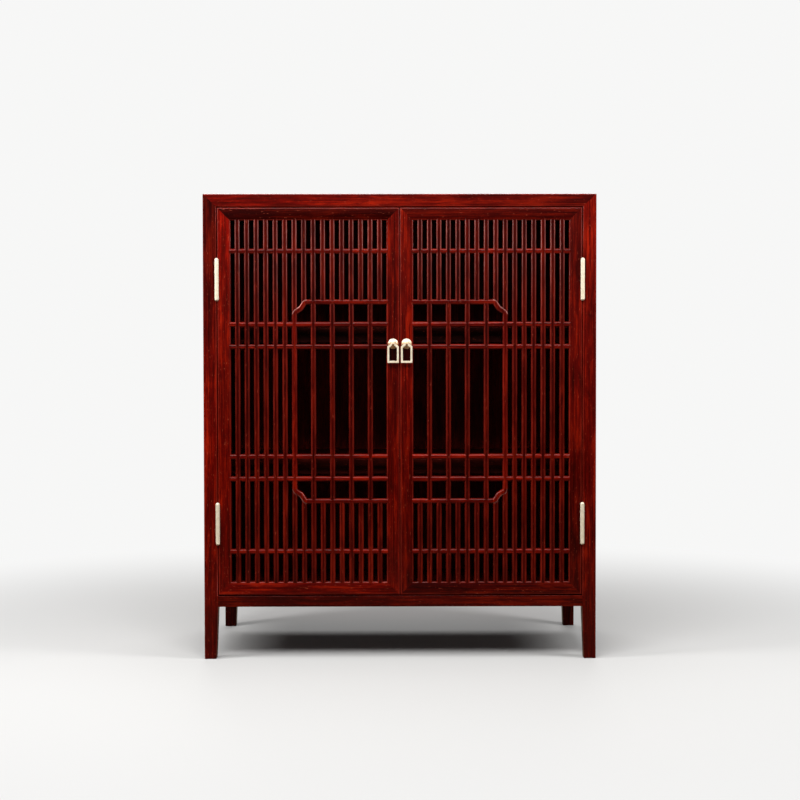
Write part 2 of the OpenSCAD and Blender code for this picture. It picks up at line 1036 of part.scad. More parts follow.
module door_stile(bevel) {
  difference() {
    intersection() {
      translate([0, 0, -half_h])
        linear_extrude(door_h)
          polygon(frame_outline(stile_w, bevel));
      translate([0, -past, 0])
        along_y(door_t + 2 * past)
          polygon([
            [-past, -half_h], [0, -half_h], [stile_w, -open_half_h], [stile_w + past, -open_half_h],
            [stile_w + past, open_half_h], [stile_w, open_half_h], [0, half_h], [-past, half_h]
          ]);
    }
    corner_tenon(glue_gap);
    mirror([0, 0, 1])
      corner_tenon(glue_gap);
  }
}

module hinge_stile(side) {
  color(wood)
    difference() {
      at_door(side)
        difference() {
          door_stile(0);
          row_mortises(all_rows);
        }
      at_hinges(side)
        leaf_pocket();
    }
}

module meeting_stile(side) {
  color(wood)
    at_door(side)
      difference() {
        translate([door_w, 0, 0])
          mirror([1, 0, 0])
            difference() {
              door_stile(back_bevel);
              row_mortises(concat(all_rows, [window_row, -window_row]));
            }
        translate([door_w - stile_w / 2, -past, pull_z])
          rotate([-90, 0, 0])
            cylinder(r = shank_r + shank_gap, h = door_t + 2 * past);
      }
}

module upper_door_rail() {
  difference() {
    union() {
      intersection() {
        along_x(door_w)
          polygon([for (p = frame_outline(door_rail_w, 0)) [p[1], half_h - p[0]]]);
        translate([0, -past, 0])
          along_y(door_t + 2 * past)
            polygon([
              [0, half_h], [0, half_h + past], [door_w, half_h + past], [door_w, half_h],
              [door_w - stile_w, open_half_h], [door_w - stile_w, open_half_h - past],
              [stile_w, open_half_h - past], [stile_w, open_half_h]
            ]);
      }
      corner_tenon(0);
      translate([door_w, 0, 0])
        mirror([1, 0, 0])
          corner_tenon(0);
    }
    upright_mortises();
  }
}

module door_rail(side, top) {
  color(wood)
    at_door(side)
      mirror([0, 0, top ? 0 : 1])
        upper_door_rail();
}

// Hinges

// The pocket and pilot holes that a leaf needs in the wood on the +X side
module leaf_pocket() {
  translate([hinge_gap / 2 - past, 0, -barrel_l / 2 - glue_gap])
    cube([leaf_t + past, pivot_out + leaf_reach + glue_gap, barrel_l + 2 * glue_gap]);
  for (z = [-screw_step, 0, screw_step])
    translate([hinge_gap / 2, screw_y, z])
      rotate([0, 90, 0])
        cylinder(r = screw_r + hinge_pilot_gap, h = leaf_t + screw_l + glue_gap);
}

// A leaf on the +X side, which owns every second knuckle from the given one
module hinge_leaf(first) {
  color(white_metal)
    difference() {
      union() {
        translate([hinge_gap / 2, leaf_start, -barrel_l / 2])
          cube([leaf_t, pivot_out + leaf_reach - leaf_start, barrel_l]);
        for (i = [first:2:knuckles - 1])
          translate([0, 0, -barrel_l / 2 + i * knuckle_l + knuckle_gap / 2]) {
            cylinder(r = barrel_r, h = knuckle_l - knuckle_gap);
            translate([hinge_gap / 2, 0, 0])
              cube([leaf_t, leaf_start + past, knuckle_l - knuckle_gap]);
          }
      }
      translate([0, 0, -barrel_l / 2 - past])
        cylinder(r = hinge_pin_r + pin_gap, h = barrel_l + 2 * past);
      for (z = [-screw_step, 0, screw_step])
        translate([hinge_gap / 2, screw_y, z])
          rotate([0, 90, 0])
            countersink(hinge_pilot_gap);
    }
}

// The tapered head of a screw, which starts in the face of the leaf
module countersink(grow) {
  cylinder(r1 = screw_head_r + grow, r2 = screw_r + grow, h = leaf_t);
}

module hinge_screws_here() {
  color(white_metal)
    for (z = [-screw_step, 0, screw_step])
      translate([hinge_gap / 2, screw_y, z])
        rotate([0, 90, 0]) {
          countersink(0);
          cylinder(r = screw_r, h = leaf_t + screw_l);
        }
}

module door_hinge_leaves(side) {
  at_hinges(side)
    hinge_leaf(1);
}

module door_hinge_screws(side) {
  at_hinges(side)
    hinge_screws_here();
}

module case_hinge_leaves() {
  for (side = [LEFT, RIGHT])
    at_hinges(side)
      mirror([1, 0, 0])
        hinge_leaf(0);
}

module case_hinge_screws() {
  for (side = [LEFT, RIGHT])
    at_hinges(side)
      mirror([1, 0, 0])
        hinge_screws_here();
}

// A pin with a domed cap on each end
module hinge_pin() {
  color(white_metal) {
    translate([0, 0, -barrel_l / 2 - past / 2])
      cylinder(r = hinge_pin_r, h = barrel_l + past);
    for (flip = [0, 1])
      mirror([0, 0, flip])
        translate([0, 0, (barrel_l - knuckle_gap) / 2])
          intersection() {
            sphere(r = barrel_r);
            translate([-2 * barrel_r, -2 * barrel_r, 0])
              cube(4 * barrel_r);
          }
  }
}

module hinge_pins() {
  for (side = [LEFT, RIGHT])
    at_hinges(side)
      hinge_pin();
}

// Pulls

// Domed rosette, the eye in front of it, and the shank with its clinched legs behind the stile
module pull_boss(side) {
  dome_r = (rosette_r * rosette_r + rosette_h * rosette_h) / (2 * rosette_h);
  color(white_metal)
    at_pull(side)
      difference() {
        union() {
          translate([0, pull_out, 0])
            intersection() {
              translate([0, dome_r - rosette_h, 0])
                sphere(r = dome_r);
              translate([-2 * dome_r, -4 * dome_r, -2 * dome_r])
                cube(4 * dome_r);
            }
          translate([-eye_t / 2, 0, 0])
            rotate([0, 90, 0])
              cylinder(r = eye_r, h = eye_t);
          translate([-eye_t / 2, 0, -eye_r / 2])
            cube([eye_t, pull_out - rosette_h / 2, eye_r]);
          translate([0, pull_out - rosette_h / 2, 0])
            rotate([-90, 0, 0])
              cylinder(r = shank_r, h = rosette_h / 2 + door_t + clinch_t);
          translate([-clinch_w / 2, pull_out + door_t, -clinch_h / 2])
            cube([clinch_w, clinch_t, clinch_h]);
        }
        translate([-eye_t, 0, 0])
          rotate([0, 90, 0])
            cylinder(r = ring_pin_r + pin_gap, h = 2 * eye_t);
      }
}

// The ring hangs on its pin: a plate with a gabled top, open in the middle and slotted for the eye
module pull_ring(side) {
  w = ring_w / 2;
  inner = w - ring_side;
  fall = (gable_rise + ring_shoulder) / (w - eye_slot);
  color(white_metal)
    at_pull(side) {
      translate([0, -ring_t / 2, 0])
        along_y(ring_t)
          difference() {
            polygon([
              [-w, -ring_drop], [w, -ring_drop], [w, -ring_shoulder], [eye_slot, gable_rise],
              [-eye_slot, gable_rise], [-w, -ring_shoulder]
            ]);
            polygon([
              [-inner, ring_foot - ring_drop], [inner, ring_foot - ring_drop],
              [inner, -gable_bar - (inner - eye_slot) * fall], [eye_slot, -gable_bar],
              [eye_slot, gable_rise + past], [-eye_slot, gable_rise + past],
              [-eye_slot, -gable_bar], [-inner, -gable_bar - (inner - eye_slot) * fall]
            ]);
          }
      translate([-eye_slot - ring_pin_r, 0, 0])
        rotate([0, 90, 0])
          cylinder(r = ring_pin_r, h = 2 * (eye_slot + ring_pin_r));
    }
}

corner_post(LEFT, FRONT);  // front_left_post
corner_post(RIGHT, FRONT);  // front_right_post
corner_post(LEFT, REAR);  // rear_left_post
corner_post(RIGHT, REAR);  // rear_right_post
top_cross_member(FRONT);  // top_front_rail
top_cross_member(REAR);  // top_rear_rail
top_side_member(LEFT);  // top_left_rail
top_side_member(RIGHT);  // top_right_rail
deck_panel(body_h - deck_t);  // top_panel
deck_battens(body_h - deck_t);  // top_battens
bottom_cross_member(FRONT);  // bottom_front_rail
bottom_cross_member(REAR);  // bottom_rear_rail
bottom_side_member(LEFT);  // bottom_left_rail
bottom_side_member(RIGHT);  // bottom_right_rail
deck_panel(sill_z - deck_t);  // bottom_panel
deck_battens(sill_z - deck_t);  // bottom_battens
side_panel(LEFT);  // left_side_panel
side_panel(RIGHT);  // right_side_panel
shelf_bearers(LEFT);  // left_shelf_bearers
shelf_bearers(RIGHT);  // right_shelf_bearers
back_muntin();
back_panel(LEFT);  // back_left_panel
back_panel(RIGHT);  // back_right_panel
shelf_rails(upper_shelf_z);  // upper_shelf_rails
shelf_cross_rails(upper_shelf_z);  // upper_shelf_cross_rails
shelf_panel(upper_shelf_z);  // upper_shelf_panel
shelf_rails(lower_shelf_z);  // lower_shelf_rails
shelf_cross_rails(lower_shelf_z);  // lower_shelf_cross_rails
shelf_panel(lower_shelf_z);  // lower_shelf_panel
case_hinge_leaves();
hinge_pins();
case_hinge_screws();
hinge_stile(LEFT);  // left_hinge_stile
meeting_stile(LEFT);  // left_meeting_stile
door_rail(LEFT, true);  // left_top_rail
door_rail(LEFT, false);  // left_bottom_rail
long_bars(LEFT);  // left_long_bars
short_bars(LEFT);  // left_short_bars
window_bars(LEFT);  // left_window_bars
cross_bars(LEFT);  // left_cross_bars
window_frame(LEFT);  // left_window_frame
window_corners(LEFT);  // left_window_corners
door_hinge_leaves(LEFT);  // left_hinge_leaves
door_hinge_screws(LEFT);  // left_hinge_screws
pull_boss(LEFT);  // left_pull_boss
pull_ring(LEFT);  // left_pull_ring
hinge_stile(RIGHT);  // right_hinge_stile
meeting_stile(RIGHT);  // right_meeting_stile
door_rail(RIGHT, true);  // right_top_rail
door_rail(RIGHT, false);  // right_bottom_rail
long_bars(RIGHT);  // right_long_bars
short_bars(RIGHT);  // right_short_bars
window_bars(RIGHT);  // right_window_bars
cross_bars(RIGHT);  // right_cross_bars
window_frame(RIGHT);  // right_window_frame
window_corners(RIGHT);  // right_window_corners
door_hinge_leaves(RIGHT);  // right_hinge_leaves
door_hinge_screws(RIGHT);  // right_hinge_screws
pull_boss(RIGHT);  // right_pull_boss
pull_ring(RIGHT);  // right_pull_ring
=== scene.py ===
"""Lacquered two-door lattice sideboard: finishes, eased edges, hinges and pulls, studio, camera."""

import json
import math
import random

import bmesh
import bpy
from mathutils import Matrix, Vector
from mathutils.bvhtree import BVHTree


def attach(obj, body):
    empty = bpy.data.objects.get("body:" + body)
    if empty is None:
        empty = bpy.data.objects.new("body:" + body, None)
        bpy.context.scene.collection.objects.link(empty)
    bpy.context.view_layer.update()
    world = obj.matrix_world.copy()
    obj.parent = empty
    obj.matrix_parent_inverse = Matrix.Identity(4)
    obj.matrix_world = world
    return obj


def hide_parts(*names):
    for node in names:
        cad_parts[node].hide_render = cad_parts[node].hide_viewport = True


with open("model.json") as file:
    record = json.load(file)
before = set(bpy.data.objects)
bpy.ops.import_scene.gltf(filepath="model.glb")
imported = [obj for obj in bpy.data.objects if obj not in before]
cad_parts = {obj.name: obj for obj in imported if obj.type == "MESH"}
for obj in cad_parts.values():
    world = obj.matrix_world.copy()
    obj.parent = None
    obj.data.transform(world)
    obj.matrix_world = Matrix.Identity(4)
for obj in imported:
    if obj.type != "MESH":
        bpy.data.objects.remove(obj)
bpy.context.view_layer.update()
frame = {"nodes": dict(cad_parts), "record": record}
record = frame["record"]

MM = 0.001
METAL_SLOT = "white_metal"
WOOD_SLOTS = ("lacquered_wood", "panel_wood")
SLOT_OF = {part["node"]: part["material_slot"] for part in record["subparts"]}
BODY_OF = {node: body for body, nodes in record["behaviour"]["bodies"].items() for node in nodes}
# Words in the names of the lattice's nodes
SLENDER = ("bars", "window")

# Corners closer than this are one, and faces that bend less than this are one flat face
MERGE = 1e-6
FLAT_ANGLE = math.radians(0.6)
# Edges that bend less than this are shaded smooth
SMOOTH_ANGLE = math.radians(36)

# Eased edges: how wide, and the least bend of an edge that is eased
MEMBER_EASE = 0.5 * MM, math.radians(50)
SLENDER_EASE = 0.8 * MM, math.radians(30)
PULL_RING_EASE = 0.5 * MM, math.radians(40)
EASE_STEPS = 2

# An edge lies in a joint where most spots along it touch another member
TOUCH = 0.15 * MM
SPOT_STEP = 6 * MM
FEWEST_SPOTS = 3
MOST_SPOTS = 24
JOINED_SHARE = 0.6

# A chamfer faces forwards, and isn't square to any axis
FORWARDS = -0.25
SQUARE = 0.97

# Painted highlight on the chamfers and eased edges: up to 1 it lightens the lacquer, and past 1 it
# turns pale
EDGE_HIGHLIGHT = 0.6
DOOR_EDGE_HIGHLIGHT = 1.6
CHAMFER_HIGHLIGHT = 1
LOW_BAR_HIGHLIGHT = 0.3
HIGH_BAR_HIGHLIGHT = 1.35
CROSS_BAR_SHARE = 0.5
# Chamfers of the window that face away from this point have their own painted highlight
WINDOW_CENTRE = Vector((0, 0, 0.54))
WINDOW_HIGHLIGHT = {"window_frame": 0.6, "window_corners": 1.55}

# Least and greatest tone of a member that has none below, and how far apart grains start
PLAIN_TONE = 0.88, 1.1
GRAIN_SPREAD = 40
# The bars are darker than the frames, and more so high up: at the floor, and a metre up
LOW_BAR_TONE = 0.5
HIGH_BAR_TONE = 0.28
# The inside of the back is painted lighter than its outside, as painted light inside the case
BACK_INSIDE_LIGHT = 1.6
# Members lighter or darker than their neighbours, at even steps from their left or lower end.
# These are partly the wood's own tone and partly painted light and shade, such as the dark
# bottom rail, the dark feet of the rear posts, and the shelf rails' painted shade and light.
# Names without a side stand for both doors.
TONES_AND_PAINTED_LIGHT = {
    "top_front_rail": (1.08, 0.8, 0.45),
    "bottom_front_rail": (0.42,),
    "front_left_post": (0.57, 0.84, 1.08, 0.58, 0.22),
    "front_right_post": (0.55, 0.78, 0.9),
    "rear_left_post": (0.25, 0.6, 0.8),
    "rear_right_post": (0.25, 0.6, 0.8),
    "left_top_rail": (0.22, 0.23),
    "right_top_rail": (0.4, 0.34),
    "left_bottom_rail": (0.9, 0.8),
    "right_bottom_rail": (0.38, 0.36),
    "left_hinge_stile": (0.9, 0.85, 0.6, 0.95, 1.8),
    "right_hinge_stile": (0.36, 0.4, 0.78, 0.68, 0.38),
    "left_meeting_stile": (0.85, 0.75, 0.5, 0.55, 0.8),
    "right_meeting_stile": (0.52, 0.59, 0.8, 0.88, 0.7),
    "upper_shelf_rails": (0.6,),
    "lower_shelf_rails": (1.15,),
    "window_frame": (1.8,),
    "window_corners": (1.8,),
    "cross_bars": (2.3,),
}

# The painted shadow on the stile behind a pull ring: how far above the ring's middle it sits, its
# half sizes, the shares of them between which it fades, and the light that is left in its middle
RING_SHADOW_RISE = 1.95 * MM
RING_SHADOW_REACH = Vector((12.5, 30, 21)) * MM
RING_SHADOW_CORE = 0.75
RING_SHADOW_EDGE = 1.25
RING_SHADOW_LIGHT = 0.16

# Heights above the middle of a boss between which its painted brown reflection fades
REFLECTION_TOP = 7.25 * MM
REFLECTION_FULL = 1.25 * MM

# Growth rings of a plain-sawn board: how close, how ragged, how strong, and their mean shade
GROWTH_CLOSENESS = 90
GROWTH_RAGGED = 5
GROWTH_STRENGTH = 0.22
GROWTH_SHADE = 0.48
SCUFF_STRENGTH = 0.35

# Studio. The floor is twice this wide, and fades into the backdrop between two distances.
FLOOR_HALF = 30
FADE_START = 0.45
FADE_END = 1.8
FLOOR_SEEN = (0.5, 0.496, 0.488, 1)
FLOOR_BOUNCE = (0.14, 0.085, 0.045, 1)
BACKDROP = (0.93, 0.93, 0.925, 1)
AIR = (0.12, 0.12, 0.12, 1)
GLOSS_AIR = (0.2, 0.2, 0.2, 1)
# Name, width, height, watts, place and aim
LAMPS = (
    ("key", 2.0, 0.8, 58, (-0.25, -1.6, 2.0), (0, -0.2, 0.7)),
    ("ceiling", 1.8, 0.9, 10, (0, -0.3, 2.3), (0, -0.2, 0)),
    ("rear", 2.0, 0.8, 34, (0, 2.0, 1.9), (0, 0.4, 0.4)),
    ("left_side", 0.45, 1.2, 21, (-1.35, -0.6, 1.45), (0, -0.2, 0.85)),
    ("right_side", 0.45, 1.2, 19, (1.35, -0.6, 1.45), (0, -0.2, 0.85)),
)

# Camera. Angles are in degrees, lens and sensor in millimetres, and clipping in metres.
CAMERA_PLACE = Vector((-11.5, -3217.4, 610.5)) * MM
CAMERA_YAW = -0.223
CAMERA_PITCH = 1.539
CAMERA_ROLL = 0.082
CAMERA_LENS = 66.844
CAMERA_SENSOR = 36
CAMERA_CLIP = 0.05, 60


# Colours


def rgba(red, green, blue):
    """A linear colour from one as a screen shows it, in 255ths."""
    def linear(value):
        value /= 255
        return value / 12.92 if value <= 0.04045 else ((value + 0.055) / 1.055) ** 2.4
    return (linear(red), linear(green), linear(blue), 1)


# Dark, middle and light streaks of each lacquer
CASE_LACQUER = rgba(50, 2, 0), rgba(93, 5, 1), rgba(156, 28, 5)
BOARD_LACQUER = rgba(48, 3, 1), rgba(80, 7, 2), rgba(124, 24, 6)
# The inner lacquer is darkened as painted shade inside the case
SHADED_INNER_LACQUER = rgba(36, 3, 1), rgba(50, 6, 3), rgba(74, 16, 8)
BACK_LACQUER = rgba(82, 10, 5), rgba(110, 20, 10), rgba(136, 34, 18)
PORE = rgba(22, 1, 0)
SCUFF = rgba(168, 74, 52)
# Painted highlight on chamfers and eased edges: dim, then pale
DIM_HIGHLIGHT = rgba(122, 32, 22)
PALE_HIGHLIGHT = rgba(214, 156, 146)
DULL_BRASS = rgba(216, 202, 174)
CLEAN_BRASS = rgba(228, 219, 198)
# Painted brown reflection on the lower part of each boss
BOSS_REFLECTION = rgba(176, 122, 66)


# Boxes


def box_of(vertices):
    """The lowest and the highest corner of the box round some vertices."""
    low = Vector(min(v.co[i] for v in vertices) for i in range(3))
    high = Vector(max(v.co[i] for v in vertices) for i in range(3))
    return low, high


def node_box(name):
    return box_of(frame["nodes"][name].data.vertices)


def middle_of(box):
    return (box[0] + box[1]) / 2


def near(box, other):
    """Tells whether two boxes touch."""
    return all(
        box[0][i] < other[1][i] + TOUCH and other[0][i] < box[1][i] + TOUCH for i in range(3)
    )


def longest(size):
    """The axis along which a size is greatest."""
    return max(range(3), key=lambda i: size[i])


# Shader maths


class Wire:
    """A shader value that can be added, multiplied and so on in an expression."""

    def __init__(self, tree, socket):
        self.tree = tree
        self.socket = socket

    def node(self, kind, outlet=0, settings=None, stops=None, **inlets):
        """Adds a node. Inlets go by socket name, with _ for a space, or by number: in0, in1."""
        made = self.tree.nodes.new(kind)
        for name, value in (settings or {}).items():
            setattr(made, name, value)
        if stops:
            ramp = made.color_ramp
            while len(ramp.elements) < len(stops):
                ramp.elements.new(0.5)
            for element, (place, colour) in zip(ramp.elements, stops):
                element.position = place
                element.color = colour
        for name, value in inlets.items():
            number = name[2:]
            by_number = name.startswith("in") and number.isdigit()
            socket = made.inputs[int(number) if by_number else name.replace("_", " ")]
            if isinstance(value, Wire):
                self.tree.links.new(value.socket, socket)
            else:
                socket.default_value = value
        return Wire(self.tree, made.outputs[outlet])

    def maths(self, operation, *values):
        inlets = {f"in{i}": value for i, value in enumerate(values)}
        return self.node("ShaderNodeMath", settings={"operation": operation}, **inlets)

    def __add__(self, other):
        return self.maths("ADD", self, other)

    __radd__ = __add__

    def __sub__(self, other):
        return self.maths("SUBTRACT", self, other)

    def __rsub__(self, other):
        return self.maths("SUBTRACT", other, self)

    def __mul__(self, other):
        return self.maths("MULTIPLY", self, other)

    __rmul__ = __mul__

    def wave(self):
        """Swings between -1 and 1 as the value grows."""
        return self.maths("SINE", self)

    def ramp(self, low, high, bottom=0.0, top=1.0):
        """Goes smoothly from bottom to top as the value goes from low to high."""
        settings = {"interpolation_type": "SMOOTHSTEP"}
        inlets = {"in0": self, "in1": low, "in2": high, "in3": bottom, "in4": top}
        return self.node("ShaderNodeMapRange", settings=settings, **inlets)

    def vector_maths(self, operation, outlet=0, **inlets):
        settings = {"operation": operation}
        return self.node("ShaderNodeVectorMath", outlet, settings, in0=self, **inlets)

    def stretch(self, x, y, z):
        """Scales a vector along each axis."""
        return self.vector_maths("MULTIPLY", in1=(x, y, z))

    def noise(self, scale, detail=2.0, roughness=0.5, distortion=0.0):
        return self.node(
            "ShaderNodeTexNoise", Vector=self, Scale=scale, Detail=detail,
            Roughness=roughness, Distortion=distortion,
        )

    def drawn_out(self, along, across, **noise):
        """Noise that is drawn out along the grain. Both numbers are spots per metre."""
        return self.stretch(along, across, across).noise(1.0, **noise)

    def brighten(self, amount):
        """Multiplies a colour by a value."""
        return self.vector_maths("SCALE", in3=amount)

    def tint(self, first, second):
        """Mixes two colours by this value."""
        settings = {"data_type": "RGBA", "clamp_factor": True}
        return self.node("ShaderNodeMix", 2, settings, in0=self, in6=first, in7=second)

    def colours(self, stops):
        """Turns a value into a colour between the stops."""
        return self.node("ShaderNodeValToRGB", stops=stops, Fac=self)

    def attribute(self, name, outlet="Fac"):
        return self.node("ShaderNodeAttribute", outlet, {"attribute_name": name})

    def place(self):
        """Object coordinates."""
        return self.node("ShaderNodeTexCoord", "Object")


def new_material(name):
    """A material, its node tree, its shader, and a Wire to start expressions from."""
    material = bpy.data.materials.new(name)
    material.use_nodes = True
    tree = material.node_tree
    shader = next(node for node in tree.nodes if node.type == "BSDF_PRINCIPLED")
    return material, tree, shader, Wire(tree, None)


def feed(tree, shader, **values):
    """Links what varies to the shader's sockets and sets what is constant."""
    for name, value in values.items():
        socket = shader.inputs[name.replace("_", " ")]
        if isinstance(value, Wire):
            tree.links.new(value.socket, socket)
        else:
            socket.default_value = value


# Finishes


def painted_ring_shadow(start):
    """Painted shadow behind the pull rings: the share of light that the lacquer keeps, all of it
    far off and little behind the rings. Both rings are met at once by dropping the signs of places."""
    ring, stile = node_box("right_pull_ring"), node_box("right_meeting_stile")
    middle = middle_of(ring)
    spot = (middle.x, -stile[0].y, middle.z + RING_SHADOW_RISE)
    offset = start.place().vector_maths("ABSOLUTE").vector_maths("SUBTRACT", in1=spot)
    shares = offset.stretch(*(1 / part for part in RING_SHADOW_REACH))
    reach = shares.vector_maths("LENGTH", "Value")
    return reach.ramp(RING_SHADOW_CORE, RING_SHADOW_EDGE, RING_SHADOW_LIGHT, 1.0)


def lacquered_wood(name, lacquer, rough, gloss, figure=0, handled=False):
    """Straight-grained hardwood under red-brown lacquer. The grain runs along X of each member's
    own attribute. A figure above 0 is the share of a plain-sawn board's growth rings."""
    material, tree, shader, start = new_material(name)
    grain = start.attribute("grain", "Vector")
    tone = start.attribute("tone")
    rubbed = start.attribute("rubbed")

    # From broad changes of tone to single fibres
    drift = grain.drawn_out(4, 26, detail=3)
    blotches = grain.drawn_out(14, 60, detail=4, roughness=0.6, distortion=0.8)
    streaks = grain.drawn_out(9, 190, detail=5, roughness=0.6, distortion=0.5)
    lines = grain.drawn_out(5, 420, detail=3, roughness=0.7, distortion=0.3)
    fibres = grain.drawn_out(45, 1500, detail=2, roughness=0.6)
    pores = grain.drawn_out(110, 2300, detail=1).ramp(0.56, 0.68)
    scuffs = grain.drawn_out(140, 480, detail=2).ramp(0.66, 0.74) * SCUFF_STRENGTH

    shade = streaks * 0.3 + blotches * 0.24 + drift * 0.18 + lines * 0.28
    if figure:
        # Growth rings are contours of a smooth noise along the board
        contours = grain.drawn_out(0.8, 7, detail=1) * GROWTH_CLOSENESS + streaks * GROWTH_RAGGED
        rings = contours.wave() * GROWTH_STRENGTH + GROWTH_SHADE
        shade = shade * (1 - figure) + rings * figure
    dark, middle, light = lacquer
    colour = shade.ramp(0.36, 0.65).colours([(0.0, dark), (0.5, middle), (1.0, light)])
    # Fibres and pores, then each member's tone, which holds painted light and shade too
    colour = ((fibres - 0.5) * 0.8 + pores * 0.45 + 0.1).tint(colour, PORE).brighten(tone)
    colour = scuffs.tint(colour, SCUFF)
    # Painted shadow on the stile behind the pull rings
    if handled:
        colour = colour.brighten(painted_ring_shadow(start))
    # Painted highlights on the chamfers and eased edges, pale past 1
    highlight_colour = (rubbed - 1).tint(DIM_HIGHLIGHT, PALE_HIGHLIGHT)
    colour = (rubbed * blotches.ramp(0.25, 0.75, 0.15, 0.65)).tint(colour, highlight_colour)

    relief = fibres * 0.3 + lines * 0.6 - pores * 0.5
    feed(
        tree, shader,
        Base_Color=colour, Roughness=streaks * 0.08 + rough, IOR=1.45, Specular_IOR_Level=gloss,
        Normal=start.node("ShaderNodeBump", Height=relief, Strength=0.12, Distance=0.2 * MM),
    )
    return material


def white_brass(name, metallic, rough, with_painted_reflection=False):
    """Pale cast brass with a faint yellow cast and fine rub marks."""
    material, tree, shader, start = new_material(name)
    place = start.place()
    cloud = place.noise(160, detail=3, roughness=0.6)
    marks = place.stretch(500, 500, 60).noise(1.0, detail=3)
    colour = cloud.ramp(0.3, 0.75).tint(DULL_BRASS, CLEAN_BRASS)
    if with_painted_reflection:
        # Painted brown reflection on the lower part of the boss, in spots
        height = start.node("ShaderNodeSeparateXYZ", "Z", in0=place)
        middle = middle_of(node_box("right_pull_boss")).z
        low = height.ramp(middle + REFLECTION_FULL, middle + REFLECTION_TOP, 0.8, 0.0)
        spots = place.noise(420, detail=2).ramp(0.35, 0.6, 0.5, 1.0)
        colour = (low * spots).tint(colour, BOSS_REFLECTION)
    feed(
        tree, shader,
        Base_Color=colour, Metallic=metallic, Roughness=cloud * 0.1 + marks * 0.08 + rough,
        Normal=start.node("ShaderNodeBump", Height=marks, Strength=0.05, Distance=0.1 * MM),
    )
    return material


case_wood = lacquered_wood("lacquered_wood", CASE_LACQUER, rough=0.14, gloss=0.15)
# Meeting stiles, with a painted shadow behind the pull rings
handled_wood = lacquered_wood("handled_wood", CASE_LACQUER, rough=0.14, gloss=0.15, handled=True)
board_wood = lacquered_wood("panel_wood", BOARD_LACQUER, rough=0.2, gloss=0.15, figure=0.2)
# Shelves and battens, darkened as painted shade inside the case
inner_wood = lacquered_wood("inner_wood", SHADED_INNER_LACQUER, rough=0.4, gloss=0.06, figure=0.2)
back_wood = lacquered_wood("back_wood", BACK_LACQUER, rough=0.4, gloss=0.1, figure=0.2)
satin_brass = white_brass("satin_brass", metallic=0.22, rough=0.32)
# Bosses, with a painted brown reflection low down
bright_brass = white_brass("bright_brass", metallic=0.45, rough=0.3, with_painted_reflection=True)


def finish_of(name):
    """The finish of a wooden node."""
    if name.endswith("meeting_stile"):
        return handled_wood
    if name.startswith("back_"):
        return back_wood
    if "shelf" in name or "batten" in name:
        return inner_wood
    return board_wood if SLOT_OF[name] == "panel_wood" else case_wood


# Meshes


def cleaned(node):
    """The mesh of a node with its corners merged and its flat faces whole."""
    bm = bmesh.new()
    bm.from_mesh(frame["nodes"][node].data)
    bmesh.ops.remove_doubles(bm, verts=bm.verts, dist=MERGE)
    bmesh.ops.dissolve_limit(
        bm, angle_limit=FLAT_ANGLE, verts=bm.verts, edges=bm.edges, delimit={"NORMAL"}
    )
    bm.normal_update()
    return bm


def touches(edge, trees):
    """Tells whether most of an edge lies against another member."""
    first, last = (v.co for v in edge.verts)
    count = max(FEWEST_SPOTS, min(MOST_SPOTS, int((last - first).length / SPOT_STEP)))
    hits = 0
    for step in range(count):
        spot = first.lerp(last, (step + 0.5) / count)
        hits += any(tree.find_nearest(spot, TOUCH)[0] is not None for tree in trees)
    return hits > JOINED_SHARE * count


def ease_edges(bm, trees, width, least):
    """Rounds the square outer edges that lie free. Edges in a joint stay sharp, so joints close."""
    edges = [
        edge for edge in bm.edges
        if len(edge.link_faces) == 2 and edge.is_convex
        and edge.calc_face_angle() > least and not touches(edge, trees)
    ]
    eased = bmesh.ops.bevel(
        bm, geom=edges, offset=width, offset_type="OFFSET", segments=EASE_STEPS, profile=0.5,
        affect="EDGES", clamp_overlap=False, material=-1,
    )
    return eased["faces"]


def finish_mesh(bm, name, material):
    """Turns a bmesh into a mesh that is smooth over its eased edges."""
    mesh = bpy.data.meshes.new(name)
    for face in bm.faces:
        face.smooth = True
    bm.to_mesh(mesh)
    bm.free()
    mesh.set_sharp_from_angle(angle=SMOOTH_ANGLE)
    mesh.materials.append(material)
    return mesh


def stand_in(node, mesh):
    """Puts a finished mesh in the place of a node."""
    piece = bpy.data.objects.new(node + "_finished", mesh)
    flat = piece.modifiers.new("flat_faces", "WEIGHTED_NORMAL")
    flat.keep_sharp = True
    bpy.context.scene.collection.objects.link(piece)
    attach(piece, BODY_OF[node])
    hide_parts(node)


# Painted highlights, tone with painted light and shade, and grain


def slender(name):
    return any(word in name for word in SLENDER)


def sideless(name):
    """The name of a door's node without its side."""
    return name.partition("_")[2]


def between(low, high, share):
    return low + (high - low) * share


def chamfer_highlight(name, face, height):
    """How strong the painted highlight on a chamfer is at a height. Bars get more of it high up."""
    outer_highlight = WINDOW_HIGHLIGHT.get(sideless(name))
    if outer_highlight and face.normal.dot(face.calc_center_median() - WINDOW_CENTRE) > 0:
        return outer_highlight
    if not slender(name):
        return CHAMFER_HIGHLIGHT
    highlight_amount = between(LOW_BAR_HIGHLIGHT, HIGH_BAR_HIGHLIGHT, height)
    return highlight_amount * CROSS_BAR_SHARE if "cross_bars" in name else highlight_amount


def paint_edge_highlights(bm, name, eased):
    """Marks the chamfers and the eased edges that get a painted highlight."""
    rubbed = bm.loops.layers.float.new("rubbed")
    bm.normal_update()
    for face in bm.faces:
        if face.normal.y < FORWARDS and max(abs(part) for part in face.normal) < SQUARE:
            for corner in face.loops:
                corner[rubbed] = chamfer_highlight(name, face, corner.vert.co.z)
    door_frame = name.endswith(("stile", "rail")) and BODY_OF[name] != "case"
    for face in eased:
        if face.is_valid:
            for corner in face.loops:
                corner[rubbed] = DOOR_EDGE_HIGHLIGHT if door_frame else EDGE_HIGHLIGHT


